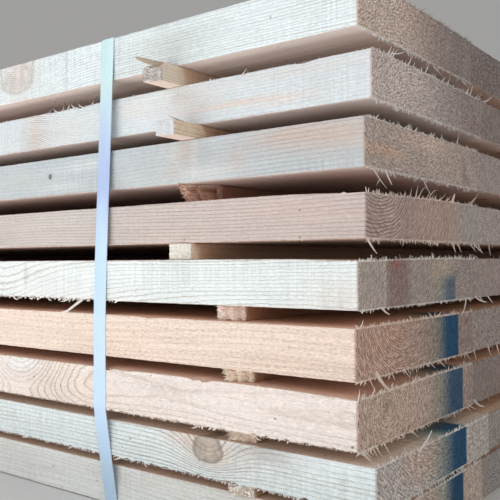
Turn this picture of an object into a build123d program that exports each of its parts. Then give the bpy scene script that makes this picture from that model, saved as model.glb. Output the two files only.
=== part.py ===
"""A strapped stack of rough-sawn softwood boards, laid flat in layers with stickers between.

Millimetres. The boards run along X, the layers lie across Y and the stack rises along Z.
The origin is under the middle of the stack, on the floor that the straps lie on.
The front is the long side at -Y, and the near end is the one at +X.
"""
from build123d import *
import os

# Boards
board_length = 3900.0
board_width = 225.0
board_thickness = 38.0
boards_per_layer = 5
seam = 0.8
arris = 0.8

# Layers, from the floor up. Rough-sawn boards are never all one thickness, and they
# are stacked by hand, so each layer has its own small departures from the sizes above.
thickness_error = (0.0, -3.5, 1.5, 0.8, -0.2, -2.3, -0.6, -1.5, 2.5)
front_setback = (7.2, -0.5, -7.2, -7.2, -5.6, -0.8, 2.1, 7.2, 3.9)
end_overrun = (0.0, 7.4, -3.7, -4.8, -3.3, 0.5, -1.6, 1.7, -7.4)

# Boards of one layer, from the front back. Each layer starts the row at another place.
width_error = (-4.0, 2.0, 2.0, 1.5, -1.5)
slip_behind = (-3.0, 2.5, -1.5, 3.0, 0.0)
flush_boards = 2

# Stickers, the strips that hold the layers apart so that air can pass
sticker_width = 24.0
sticker_thickness = 12.5
sticker_overhang = 28.5
sticker_columns = 5
column_inset = 150.0

# Stickers of one column, from the floor up: thickness, width, drift along the boards, how
# far the broken front end is split back, and the share of the overhang that stands out at
# the front instead of at the back. Each column starts the rows at another place.
sticker_error = (-3.2, -2.9, -2.3, -0.3, 1.5, 3.6, 0.3, 4.6)
sticker_width_error = (0.0, 0.0, 0.0, 0.0, 0.0, 0.0, -6.0, -6.0)
sticker_drift = (33.0, 34.0, 34.0, 26.0, -29.0, -23.0, -22.5, -43.5)
split_back = (4.0, 6.0, 8.0, 9.0, 2.0, 34.0, 3.0, 4.0)
front_share = (0.0, 0.0, 0.18, 0.18, 0.10, 0.0, 1.0, 0.80)
shuffle_count = 3

# The broken edge from its sound corner: share of the width, share of the split
break_teeth = ((0.25, 0.10), (0.34, 0.48), (0.58, 0.36), (0.72, 1.0), (1.0, 0.82))

# Straps, each beside a column of stickers, where it can pull the boards down hard
strap_width = 16.0
strap_thickness = 0.8
strap_distance = 125.0

layer_count = len(thickness_error)
gap_count = layer_count - 1
layer_width = boards_per_layer * board_width + sum(width_error) + (boards_per_layer - 1) * seam
sticker_length = layer_width + sticker_overhang


def layer_thickness(layer):
    return board_thickness + thickness_error[layer]


def gap_height(gap):
    return sticker_thickness + sticker_error[gap]


def layer_bottom(layer):
    below = sum(layer_thickness(other) + gap_height(other) for other in range(layer))
    return strap_thickness + below


def layer_front(layer):
    return -layer_width / 2 + front_setback[layer]


def width_of(layer, board):
    return board_width + width_error[(board + 2 * layer) % len(width_error)]


def front_of(layer, board):
    """A board lies behind the boards before it and their seams."""
    return layer_front(layer) + sum(width_of(layer, other) + seam for other in range(board))


def overrun_of(layer, board):
    """The boards nearest the front end flush, and those behind slip in or out a little."""
    slip = 0.0 if board < flush_boards else slip_behind[(board + layer) % len(slip_behind)]
    return end_overrun[layer] + slip


def even_places(first, last, count):
    step = (last - first) / (count - 1)
    return [first + step * index for index in range(count)]


def sawn_section(front, bottom, width, thickness):
    """A cross-section in Y and Z, with its sawn corners just broken."""
    with BuildSketch(mode=Mode.PRIVATE) as outline:
        with Locations((front + width / 2, bottom + thickness / 2)):
            Rectangle(width, thickness)
        chamfer(outline.vertices(), length=arris)
    return outline.sketch_local


def broken_strip(centre_x, front, width, split):
    """A sticker from above: sawn square at the back, snapped at the front along its grain."""
    left = centre_x - width / 2
    right = centre_x + width / 2
    back = front + sticker_length
    teeth = [(left + width * across, front + split * deep) for across, deep in break_teeth]
    with BuildLine() as outline:
        Polyline((right, back), (left, back), (left, front), *teeth, close=True)
    make_face(outline.edges())


# The stack is centred between the ends that run out furthest.
layer_rows = range(layer_count)
board_rows = range(boards_per_layer)
overruns = [overrun_of(layer, board) for layer in layer_rows for board in board_rows]
near_plane = board_length / 2 - (max(overruns) + min(overruns)) / 2
far_plane = near_plane - board_length

os.makedirs("parts", exist_ok=True)

for layer in layer_rows:
    with BuildPart() as boards:
        for board in board_rows:
            far_end = far_plane + overrun_of(layer, board)
            with BuildSketch(Plane.YZ.offset(far_end)):
                add(sawn_section(
                    front_of(layer, board),
                    layer_bottom(layer),
                    width_of(layer, board),
                    layer_thickness(layer),
                ))
            extrude(amount=board_length)
    boards.part.label = f"boards_layer_{layer + 1}"
    export_step(boards.part, f"parts/{boards.part.label}.step")

columns = even_places(near_plane - column_inset, far_plane + column_inset, sticker_columns)
for gap in range(gap_count):
    with BuildPart() as stickers:
        with BuildSketch(Plane.XY.offset(layer_bottom(gap) + layer_thickness(gap))):
            for column, column_x in enumerate(columns):
                turn = (gap + shuffle_count * column) % gap_count
                front = -layer_width / 2 - sticker_overhang * front_share[turn]
                width = sticker_width + sticker_width_error[turn]
                broken_strip(column_x + sticker_drift[turn], front, width, split_back[turn])
        extrude(amount=gap_height(gap))
    stickers.part.label = f"stickers_gap_{gap + 1}"
    export_step(stickers.part, f"parts/{stickers.part.label}.step")

# A strap pulled tight takes the shortest way round the uneven layers, which is their hull.
strap_places = {
    "strap_near": columns[0] - strap_distance,
    "strap_middle": columns[sticker_columns // 2] - strap_distance,
    "strap_far": columns[-1] + strap_distance,
}
for name, strap_x in strap_places.items():
    with BuildPart() as strap:
        with BuildSketch(Plane.YZ.offset(strap_x)) as loop:
            for layer in layer_rows:
                add(sawn_section(
                    layer_front(layer),
                    layer_bottom(layer),
                    layer_width,
                    layer_thickness(layer),
                ))
            make_hull(mode=Mode.REPLACE)
            wrapped = loop.face()
            offset(amount=strap_thickness, kind=Kind.ARC, mode=Mode.REPLACE)
            add(wrapped, mode=Mode.SUBTRACT)
        extrude(amount=strap_width / 2, both=True)
    strap.part.label = name
    export_step(strap.part, f"parts/{name}.step")
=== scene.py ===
import math
import random

import bmesh
import bpy
import numpy as np
from mathutils import Matrix, Vector, noise


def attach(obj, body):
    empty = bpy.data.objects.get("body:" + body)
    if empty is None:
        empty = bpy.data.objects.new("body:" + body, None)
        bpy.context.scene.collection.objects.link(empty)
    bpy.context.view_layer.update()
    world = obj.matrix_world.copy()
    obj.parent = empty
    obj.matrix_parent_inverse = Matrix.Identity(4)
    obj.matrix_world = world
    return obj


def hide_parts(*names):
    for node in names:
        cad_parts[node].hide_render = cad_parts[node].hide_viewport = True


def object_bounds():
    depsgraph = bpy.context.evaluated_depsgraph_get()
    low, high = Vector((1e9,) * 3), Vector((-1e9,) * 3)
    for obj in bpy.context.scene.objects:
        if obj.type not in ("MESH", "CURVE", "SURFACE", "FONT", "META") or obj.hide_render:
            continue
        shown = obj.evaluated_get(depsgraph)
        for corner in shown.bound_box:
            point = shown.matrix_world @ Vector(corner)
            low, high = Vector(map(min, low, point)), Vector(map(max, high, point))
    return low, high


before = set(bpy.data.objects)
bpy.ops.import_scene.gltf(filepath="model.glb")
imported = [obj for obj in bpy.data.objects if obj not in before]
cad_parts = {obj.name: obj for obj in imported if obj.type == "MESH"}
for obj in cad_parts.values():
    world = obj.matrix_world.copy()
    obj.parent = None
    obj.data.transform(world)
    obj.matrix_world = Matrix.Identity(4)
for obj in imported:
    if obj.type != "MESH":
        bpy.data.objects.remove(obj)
cad_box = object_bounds()

MM = 0.001
LAYERS = 9
GAPS = LAYERS - 1

# Points nearer than this are one, and long faces are cut about this often.
WELD = 1e-6
LONG_CUT = 90 * MM

# The length of the front boards that is worked finely, from the near end that the photograph shows
SHOWN = 0.5

# Points this near to a side of their box sink with the noise, and those this near to the top or
# the bottom of a front board take the wear of its edges.
SKIN = 1.2 * MM
EDGE = 1.3 * MM

# Each piece of wood has its own place in the noise that roughens it, up to this far along. The
# noise itself takes its start from the clock unless it is given one.
NOISE_REACH = 900
NOISE_SEED = 1
noise.seed_set(NOISE_SEED)


# Camera, where the photograph was taken from

def make_camera():
    lens_data = bpy.data.cameras.new("photo_camera")
    lens_data.lens = 52.75
    lens_data.sensor_width = 36.0
    lens_data.clip_start = 0.02
    camera = bpy.data.objects.new("photo_camera", lens_data)
    bpy.context.scene.collection.objects.link(camera)
    yaw, pitch, roll = (math.radians(angle) for angle in (37.304, 0.960, -0.287))
    turn = Matrix.Rotation(yaw, 4, "Z") @ Matrix.Rotation(math.pi / 2 + pitch, 4, "X")
    turn = turn @ Matrix.Rotation(roll, 4, "Z")
    camera.matrix_world = Matrix.Translation((2.2007, -1.0301, 0.2281)) @ turn
    bpy.context.scene.camera = camera


make_camera()


# Finishes

class Finish:
    """A node material, with short calls for the kinds of node that the finishes use."""

    def __init__(self, name):
        self.material = bpy.data.materials.new(name)
        self.material.use_nodes = True
        self.tree = self.material.node_tree
        self.shader = self.tree.nodes["Principled BSDF"]

    def put(self, socket, value):
        if isinstance(value, bpy.types.NodeSocket):
            self.tree.links.new(value, socket)
        else:
            socket.default_value = (*value, 1.0) if socket.type == "RGBA" else value

    def node(self, kind, *values, **settings):
        """A new node, with its settings made and then its first sockets filled."""
        made = self.tree.nodes.new(kind)
        for name, value in settings.items():
            setattr(made, name, value)
        for socket, value in zip(made.inputs, values):
            self.put(socket, value)
        return made

    def math(self, operation, *values, clamp=False):
        return self.node("ShaderNodeMath", *values, operation=operation, use_clamp=clamp).outputs[0]

    def times(self, first, second, clamp=False):
        return self.math("MULTIPLY", first, second, clamp=clamp)

    def times_plus(self, first, second, third, clamp=False):
        return self.math("MULTIPLY_ADD", first, second, third, clamp=clamp)

    def centred(self, value):
        """Noise moved down by a half, so that it lies about nought."""
        return self.math("SUBTRACT", value, 0.5)

    def vector(self, operation, *values):
        made = self.node("ShaderNodeVectorMath", *values, operation=operation)
        return made.outputs["Value" if operation in ("LENGTH", "DOT_PRODUCT") else "Vector"]

    def mix(self, share, first, second, blend="MIX"):
        made = self.node("ShaderNodeMix", share, data_type="RGBA", blend_type=blend)
        self.put(made.inputs[6], first)
        self.put(made.inputs[7], second)
        return made.outputs[2]

    def tinted(self, colour, tint):
        return self.mix(1.0, colour, tint, "MULTIPLY")

    def toned(self, share, colour, tint):
        """A colour, tinted only as far as the share goes."""
        return self.mix(share, colour, self.tinted(colour, tint))

    def grade(self, value, low, high, to_low=0.0, to_high=1.0):
        """A smooth step from one value to another."""
        span = (value, low, high, to_low, to_high)
        return self.node("ShaderNodeMapRange", *span, interpolation_type="SMOOTHSTEP").outputs[0]

    def noise(self, place, scale=1.0, detail=2.0, rough=0.5):
        made = self.node("ShaderNodeTexNoise")
        for name, value in dict(Vector=place, Scale=scale, Detail=detail, Roughness=rough).items():
            self.put(made.inputs[name], value)
        return made.outputs["Fac"]

    def grained(self, place, along, across, detail=2.0, rough=0.5):
        """Noise of one fineness along the grain and another across it."""
        return self.noise(self.stretched(place, (along, across, across)), 1.0, detail, rough)

    def stretched(self, place, factors):
        return self.vector("MULTIPLY", place, factors)

    def object_place(self):
        return self.node("ShaderNodeTexCoord").outputs["Object"]

    def attribute(self, name, output="Vector"):
        return self.node("ShaderNodeAttribute", attribute_name=name).outputs[output]

    def parts(self, value):
        return self.node("ShaderNodeSeparateXYZ", value).outputs[:3]

    def join(self, x, y, z):
        return self.node("ShaderNodeCombineXYZ", x, y, z).outputs[0]

    def grey(self, value):
        """A colour of equal parts, to tint another with."""
        return self.join(value, value, value)

    def bump(self, height, distance):
        made = self.node("ShaderNodeBump")
        self.put(made.inputs["Height"], height)
        made.inputs["Distance"].default_value = distance
        self.put(self.shader.inputs["Normal"], made.outputs[0])

    def set(self, **values):
        for name, value in values.items():
            self.put(self.shader.inputs[name.replace("_", " ")], value)


def branch_knots(f, along, angle, radius, quick):
    """How near the closest branch is, in shares of its half width, and that half width."""
    # Branches run out from the middle of the log, so their knots lie in this chart of it.
    chart_x, chart_a = 3.1, 0.75
    chart = f.join(f.times(along, chart_x), f.times(angle, chart_a), 0.0)
    cells = f.node("ShaderNodeTexVoronoi", voronoi_dimensions="2D")
    f.put(cells.inputs["Vector"], chart)
    cells.inputs["Scale"].default_value = 1.0
    cells.inputs["Randomness"].default_value = 0.9
    gap_x, gap_a, _ = f.parts(f.vector("SUBTRACT", chart, cells.outputs["Position"]))
    branch_x = f.math("DIVIDE", gap_x, chart_x)
    branch_a = f.times(f.math("DIVIDE", gap_a, chart_a), radius)
    reach = f.vector("LENGTH", f.join(branch_x, branch_a, 0.0))
    wide = f.times_plus(radius, 0.05, 0.0035)
    return f.times_plus(f.centred(quick), 0.5, f.math("DIVIDE", reach, wide)), wide


def with_specks(f, face, place, speckle):
    """Small dark specks of dirt and resin."""
    specks = f.node("ShaderNodeTexVoronoi")
    f.put(specks.inputs["Vector"], f.stretched(place, (60.0, 75.0, 75.0)))
    specks.inputs["Scale"].default_value = 1.0
    size, _, _ = f.parts(specks.outputs["Color"])
    speck = f.times(f.grade(specks.outputs["Distance"], 0.1, 0.05), f.grade(size, 0.78, 0.86))
    return f.mix(f.times(speck, f.times(speckle, 0.8), clamp=True), face, (0.16, 0.15, 0.13))


def with_blue_mark(f, colour, tuft_place, tuft_share):
    """The blue mark: sharp on its far side, sprayed thin on its near side."""
    across, back, strength = f.parts(f.attribute("spray_place"))
    grain = f.centred(f.noise(tuft_place, 1.6, 3.0, 0.7))
    from_left = f.times_plus(grain, 0.5, across)
    from_right = f.times_plus(grain, 0.12, across)
    band = f.times(f.grade(from_left, -0.35, 0.45), f.grade(from_right, 1.06, 0.96))
    mist = f.times(f.grade(from_left, -1.2, 0.1), f.grade(from_right, 1.1, 0.96))
    fade = f.grade(f.times_plus(grain, 0.012, back), 0.05, 0.004)
    mark = f.times(f.times(band, fade), strength, clamp=True)
    mist = f.times(f.times(mist, fade), strength, clamp=True)
    blue = f.mix(tuft_share, (0.012, 0.052, 0.125), (0.032, 0.115, 0.22))
    return f.mix(mark, f.toned(mist, colour, (0.55, 0.78, 0.80)), blue)


def sawn_wood():
    """Rough-sawn softwood. Its rings are worked out about the middle of the log it came from."""
    f = Finish("sawn_softwood")
    place = f.attribute("log_place")
    wood = f.attribute("wood_colour", "Color")
    ring_pitch, line_strength, wild = f.parts(f.attribute("board_traits"))
    speckle, saw_marks, tuft_rings = f.parts(f.attribute("board_texture"))
    knot_along, knot_across, knot_size = f.parts(f.attribute("knot_place"))
    knot_body, knot_edge, knot_push = f.parts(f.attribute("knot_look"))
    knot_tint = f.attribute("knot_tint", "Color")
    normal = f.node("ShaderNodeNewGeometry").outputs["Normal"]
    facing = f.math("ABSOLUTE", f.vector("DOT_PRODUCT", normal, f.attribute("grain_axis")))
    end_grain = f.grade(facing, 0.55, 0.75)
    side_grain = f.math("SUBTRACT", 1.0, end_grain)

    # The rings wander a little, more slowly along the log than across it.
    slow = f.grained(place, 2.6, 14.0, 1.0)
    quick = f.grained(place, 9.0, 70.0, 1.0)
    wander = f.times(f.centred(slow), 0.016)
    wander = f.times_plus(f.centred(quick), 0.0012, wander)
    along, across, up = f.parts(place)
    radius = f.vector("LENGTH", f.join(0.0, across, up))
    angle = f.math("ARCTAN2", up, across)

    # The knot that is listed pushes the rings out round it.
    knot_reach = f.vector("LENGTH", f.join(knot_along, knot_across, 0.0))
    knot_wide = f.math("MAXIMUM", f.math("ABSOLUTE", knot_size), 0.001)
    knot_near = f.math("DIVIDE", knot_reach, knot_wide)
    knot_near_soft = f.times_plus(f.centred(quick), 0.5, knot_near)
    swell = f.math("EXPONENT", f.times(f.math("POWER", knot_near, 2.0), -0.28))
    bulge = f.times(f.times(knot_size, swell), knot_push)

    branch_near, branch_wide = branch_knots(f, along, angle, radius, quick)
    branch_swell = f.math("EXPONENT", f.times(f.math("POWER", branch_near, 2.0), -0.3))
    branch_swell = f.times(branch_swell, wild)
    bulge = f.times_plus(f.times(branch_swell, branch_wide), 1.2, bulge)

    ring = f.math("DIVIDE", f.math("ADD", f.math("ADD", radius, wander), bulge), ring_pitch)
    uneven = f.noise(f.join(0.0, 0.0, f.times(ring, 0.9)), 1.0, 1.0)
    part = f.math("FRACT", f.times_plus(uneven, 0.9, ring))
    late = f.times(f.grade(part, 0.66, 0.9), f.grade(part, 1.0, 0.95))

    # Knots: darker, with rings of their own and a dark rim
    branch_if_wild = f.times_plus(f.math("SUBTRACT", 1.0, wild), 50.0, branch_near)
    knot_near_any = f.math("MINIMUM", knot_near_soft, branch_if_wild)
    in_knot = f.grade(knot_near_any, 1.0, 0.9)
    knot_rim = f.times(f.grade(knot_near_any, 0.8, 0.96), f.grade(knot_near_any, 1.12, 0.98))
    knot_rings = f.math("FRACT", f.times_plus(slow, 3.0, f.times(knot_near_any, 3.5)))
    halo = f.grade(knot_near_any, 1.9, 0.9)

    # Colour of the sawn faces: lines of late wood broken up by the saw, streaks along the
    # grain, marks of the saw across it, and the fuzz of torn fibres
    streaks = f.grained(place, 11.0, 520.0)
    blotch = f.grained(place, 8.0, 30.0, 3.0, 0.6)
    saw_lines = f.grained(place, 420.0, 12.0)
    saw_zone = f.grade(f.grained(place, 7.0, 20.0, 1.0), 0.36, 0.6)
    dashes = f.grained(place, 170.0, 640.0, 1.0)
    line_fade = f.grade(f.grained(place, 9.0, 34.0), 0.28, 0.6, 0.45, 1.0)
    line_fade = f.times(line_fade, f.grade(dashes, 0.3, 0.62, 1.4, 0.75))
    normal_z = f.parts(normal)[2]
    line_fade = f.times(line_fade, f.grade(normal_z, -0.8, -0.5, 0.3, 1.0))
    line_dark = f.times(f.times(late, line_strength), line_fade, clamp=True)
    fuzz = f.grained(place, 270.0, 950.0, 2.0, 0.6)
    face = f.toned(line_dark, wood, (0.52, 0.41, 0.32))
    streak_shade = f.times(f.centred(streaks), 0.26)
    shade = f.times_plus(streak_shade, speckle, 1.0)
    shade = f.times_plus(f.centred(blotch), 0.22, shade)
    saw_shade = f.times(f.centred(saw_lines), saw_zone)
    shade = f.times_plus(saw_shade, saw_marks, shade)
    fuzz_shade = f.times(f.centred(fuzz), 0.62)
    fuzz_shade = f.math("SUBTRACT", fuzz_shade, f.grade(dashes, 0.55, 0.72, 0.0, 0.12))
    shade = f.times_plus(fuzz_shade, speckle, shade)
    face = f.tinted(face, f.grey(shade))
    # Painted shade: the tops of the boards below the topmost layer, inside the gaps, are darkened and warmed,
    # as shade and warm bounce light in the gaps would make them.
    height_here = f.parts(f.object_place())[2]
    painted_shade_inner_top = f.times(f.grade(normal_z, 0.5, 0.8), f.grade(height_here, 0.42, 0.40))
    face = f.toned(painted_shade_inner_top, face, (0.93, 0.71, 0.59))
    # The undersides are moved towards a warm pink: partly the wood's colour, partly painted warm bounce light
    # and shade from the gaps.
    face = f.mix(f.grade(normal_z, -0.5, -0.8), face, f.mix(0.62, face, (1.0, 0.81, 0.73)))
    warm = f.grade(f.grained(place, 5.0, 18.0), 0.4, 0.7, 0.0, 0.3)
    face = f.toned(warm, face, (1.0, 0.92, 0.87))
    face = with_specks(f, face, place, speckle)

    # Knot colour
    pale_tint = f.mix(0.25, knot_tint, (1.0, 0.96, 0.92))
    knot_colour = f.tinted(wood, f.mix(knot_rings, knot_tint, pale_tint))
    knot_clouds = f.grained(place, 140.0, 140.0)
    knot_colour = f.tinted(knot_colour, f.grey(f.grade(knot_clouds, 0.32, 0.68, 0.7, 1.18)))
    face = f.toned(f.times(halo, f.times(knot_body, 0.4)), face, (0.9, 0.8, 0.7))
    face = f.mix(f.times(in_knot, knot_body), face, knot_colour)
    rim_colour = f.tinted(wood, (0.30, 0.22, 0.17))
    face = f.mix(f.times(knot_rim, knot_edge), face, rim_colour)

    # Colour of the end grain: torn fibre, pale tufts on a darker ground
    tuft_place = f.stretched(place, (300.0, 590.0, 590.0))
    tufts = f.noise(tuft_place, 1.0, 3.0, 0.7)
    round_log = f.times(angle, f.times(radius, 150.0))
    flow = f.join(0.0, round_log, f.times(radius, 720.0))
    flow_tufts = f.noise(flow, 1.0, 3.0, 0.65)
    flow_share = f.times_plus(tuft_rings, 0.45, 0.3)
    tuft = f.math("ADD", f.times(tufts, f.math("SUBTRACT", 1.0, flow_share)),
                  f.times(flow_tufts, flow_share))
    patch = f.grained(place, 0.0, 24.0, 3.0, 0.6)
    tuft_share = f.grade(tuft, 0.39, 0.61)
    contrast = f.times_plus(speckle, 0.66, 0.66)
    contrast = f.times_plus(tuft_rings, -0.6, contrast, clamp=True)
    dark_end = f.toned(contrast, wood, (0.47, 0.41, 0.37))
    pale_end = f.toned(contrast, wood, (1.5, 1.5, 1.5))
    cut_end = f.mix(tuft_share, dark_end, pale_end)
    salt = f.grained(place, 500.0, 800.0, 1.0)
    salt_colour = f.tinted(wood, (2.0, 1.95, 1.9))
    cut_end = f.mix(f.times(f.grade(salt, 0.58, 0.74, 0.0, 0.4), contrast), cut_end, salt_colour)
    end_line = f.times(f.grade(patch, 0.28, 0.52, 0.3, 1.35), tuft_rings)
    end_line = f.times(late, end_line, clamp=True)
    cut_end = f.mix(end_line, cut_end, f.tinted(wood, (0.50, 0.42, 0.37)))
    patch_shade = f.times_plus(f.centred(patch), 0.4, 1.0)
    cut_end = f.tinted(cut_end, f.grey(patch_shade))

    colour = with_blue_mark(f, f.mix(end_grain, face, cut_end), tuft_place, tuft_share)

    # Relief
    rise_side = f.math("ADD", f.times(fuzz, 0.5), f.times(late, 0.25))
    rise_side = f.times_plus(saw_lines, f.times(saw_zone, 0.6), rise_side)
    rise_side = f.times_plus(streaks, 0.4, rise_side)
    rise_end = f.times_plus(tuft, 1.7, f.times(late, 0.4))
    height = f.math("ADD", f.times(rise_side, side_grain), f.times(rise_end, end_grain))
    f.bump(height, 0.0007)
    f.set(Base_Color=colour, Roughness=f.grade(tuft, 0.2, 0.8, 0.72, 0.9), Specular_IOR_Level=0.22)
    return f.material


def torn_fibre():
    """Splinters and fibres that the saw tore loose."""
    f = Finish("torn_fibre")
    place = f.object_place()
    wood = f.attribute("wood_colour", "Color")
    strands = f.noise(f.stretched(place, (900.0, 900.0, 300.0)), 1.0, 2.0)
    shade = f.grade(strands, 0.25, 0.75, 0.78, 1.08)
    f.set(Base_Color=f.tinted(wood, f.grey(shade)), Roughness=f.grade(strands, 0.2, 0.8, 0.55, 0.8),
          Specular_IOR_Level=0.3)
    f.bump(strands, 0.0002)
    return f.material


def strap_plastic():
    """Smooth pale strap, a little milky, with the faint lines that drawing it leaves."""
    f = Finish("strap_plastic")
    place = f.object_place()
    drawn = f.grained(place, 1500.0, 6.0)
    milky = f.grained(place, 20.0, 5.0)
    scuffs = f.grained(place, 300.0, 120.0, 3.0, 0.6)
    height = f.times_plus(f.centred(milky), 0.2, f.parts(place)[2])
    base = f.mix(f.grade(height, 0.25, 0.29), (0.56, 0.74, 0.95), (0.44, 0.54, 0.81))
    base = f.mix(f.grade(height, 0.30, 0.40), base, (0.61, 0.80, 0.82))
    base = f.mix(f.grade(drawn, 0.3, 0.8, 0.0, 0.12), base, (0.86, 0.93, 0.99))
    base = f.mix(f.grade(scuffs, 0.62, 0.8, 0.0, 0.25), base, (0.80, 0.86, 0.94))
    f.set(Base_Color=base, Roughness=f.grade(scuffs, 0.3, 0.8, 0.28, 0.5), Subsurface_Weight=0.2,
          Subsurface_Radius=(0.001, 0.001, 0.0015))
    f.bump(f.times_plus(drawn, 0.5, scuffs), 0.00006)
    return f.material


WOOD = sawn_wood()
FIBRE = torn_fibre()
PLASTIC = strap_plastic()


# Reading the frame

def solid_boxes(node):
    """The lowest and highest corner of each separate solid of a CAD node."""
    form = bmesh.new()
    form.from_mesh(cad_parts[node].data)
    bmesh.ops.remove_doubles(form, verts=form.verts, dist=WELD)
    boxes = []
    left = set(form.verts)
    while left:
        reached = [left.pop()]
        for vert in reached:
            for edge in vert.link_edges:
                other = edge.other_vert(vert)
                if other in left:
                    left.discard(other)
                    reached.append(other)
        places = np.array([vert.co for vert in reached])
        boxes.append((Vector(places.min(0)), Vector(places.max(0))))
    form.free()
    return sorted(boxes, key=lambda box: (round(box[0].y, 3), round(box[0].x, 3)))


# Shaping

def box_form(low, high):
    form = bmesh.new()
    size = high - low
    place = Matrix.Translation((low + high) / 2) @ Matrix.Diagonal((size.x, size.y, size.z, 1.0))
    bmesh.ops.create_cube(form, size=1.0, matrix=place)
    return form


def break_corners(form, width, edges=None):
    bmesh.ops.bevel(form, geom=edges or form.edges[:], offset=width, offset_type="OFFSET", segments=2,
                    profile=0.5, affect="EDGES", clamp_overlap=True, material=-1)


def cut_across(form, axis, places, inside=None):
    """Cuts the faces that lie inside a zone, without parting them, at each place on one axis."""
    faces = [face for face in form.faces if inside is None or inside(face)]
    verts = dict.fromkeys(vert for face in faces for vert in face.verts)
    edges = dict.fromkeys(edge for face in faces for edge in face.edges)
    zone = [*verts, *edges, *faces]
    point, direction = Vector(), Vector()
    direction[axis] = 1.0
    for place in places:
        point[axis] = place
        cut = bmesh.ops.bisect_plane(form, geom=zone, dist=WELD, plane_co=point, plane_no=direction)
        zone = cut["geom"]


def steps(first, last, step):
    count = max(1, round(abs(last - first) / step))
    return [first + (last - first) * (index + 0.5) / count for index in range(count)]


def pointed(place, direction, side):
    """A place, turned so that its own Z runs along a direction."""
    return Matrix.Translation(place) @ direction.to_track_quat("Z", side).to_matrix().to_4x4()


def fibre(form, root, tip, width):
    """One torn fibre: a thin cone from its root in the wood to its tip."""
    along = tip - root
    bmesh.ops.create_cone(form, cap_ends=True, segments=3, radius1=width / 2, radius2=width * 0.12,
                          depth=along.length, matrix=pointed((root + tip) / 2, along, "X"))


def splinter(form, line, width, flat, blunt=0.12, hold=1.5):
    """A long splinter: a small loop drawn along a line of points, thinning towards its tip."""
    line = [Vector(point) for point in line]
    place = pointed(line[0], line[1] - line[0], "Y")
    section = place @ Matrix.Diagonal((width * flat / 2, width / 2, 1.0, 1.0))
    loop = bmesh.ops.create_circle(form, cap_ends=True, segments=5, radius=1.0, matrix=section)
    edges = list(dict.fromkeys(edge for vert in loop["verts"] for edge in vert.link_edges))
    for index in range(1, len(line)):
        ahead = line[min(index + 1, len(line) - 1)] - line[index - 1]
        size = 1.0 - (1.0 - blunt) * (index / (len(line) - 1)) ** hold
        moved = pointed(line[index], ahead, "Y") @ Matrix.Diagonal((size, size, 1.0, 1.0))
        grown = bmesh.ops.extrude_edge_only(form, edges=edges)["geom"]
        verts = [item for item in grown if isinstance(item, bmesh.types.BMVert)]
        edges = [item for item in grown if isinstance(item, bmesh.types.BMEdge)
                 and all(vert in verts for vert in item.verts)]
        bmesh.ops.transform(form, verts=verts, matrix=moved @ place.inverted())
        place = moved
    bmesh.ops.contextual_create(form, geom=edges)


def ripple(x, y, z):
    return noise.noise(Vector((x, y, z)))


def keep_inside(form):
    """Nothing stands out of the box that the CAD model fills."""
    for vert in form.verts:
        for axis in range(3):
            vert.co[axis] = min(max(vert.co[axis], cad_box[0][axis]), cad_box[1][axis])


def mesh_object(form, name, finish):
    bmesh.ops.recalc_face_normals(form, faces=form.faces)
    mesh = bpy.data.meshes.new(name)
    form.to_mesh(mesh)
    form.free()
    mesh.materials.append(finish)
    made = bpy.data.objects.new(name, mesh)
    bpy.context.scene.collection.objects.link(made)
    return made


def write_vectors(mesh, name, values):
    layer = mesh.attributes.new(name, "FLOAT_VECTOR", "POINT")
    layer.data.foreach_set("vector", np.asarray(values, np.float32).ravel())


def write_colours(mesh, name, values):
    layer = mesh.attributes.new(name, "FLOAT_COLOR", "POINT")
    full = np.ones((len(values), 4), np.float32)
    full[:, :3] = values
    layer.data.foreach_set("color", full.ravel())


def places_of(mesh):
    flat = np.zeros(len(mesh.vertices) * 3, np.float32)
    mesh.vertices.foreach_get("co", flat)
    return flat.reshape(-1, 3)


def joined(parts, name):
    """Several objects made into one."""
    with bpy.context.temp_override(active_object=parts[0], selected_editable_objects=parts):
        bpy.ops.object.join()
    parts[0].name = name
    parts[0].data.name = name
    return parts[0]


# Boards

# Colours that the wood takes in places
HEARTWOOD = (0.66, 0.44, 0.33)
# Grey for weathered end grain, used also as painted shade on the far part of the ends
WEATHERED_AND_SHADED = (0.32, 0.27, 0.26)
STAINED = (0.26, 0.17, 0.155)
TAN = (0.72, 0.56, 0.47)
RESIN = (0.78, 0.55, 0.42)
CLOUDY = (0.60, 0.62, 0.58)
PALE = (0.76, 0.77, 0.76)
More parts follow.
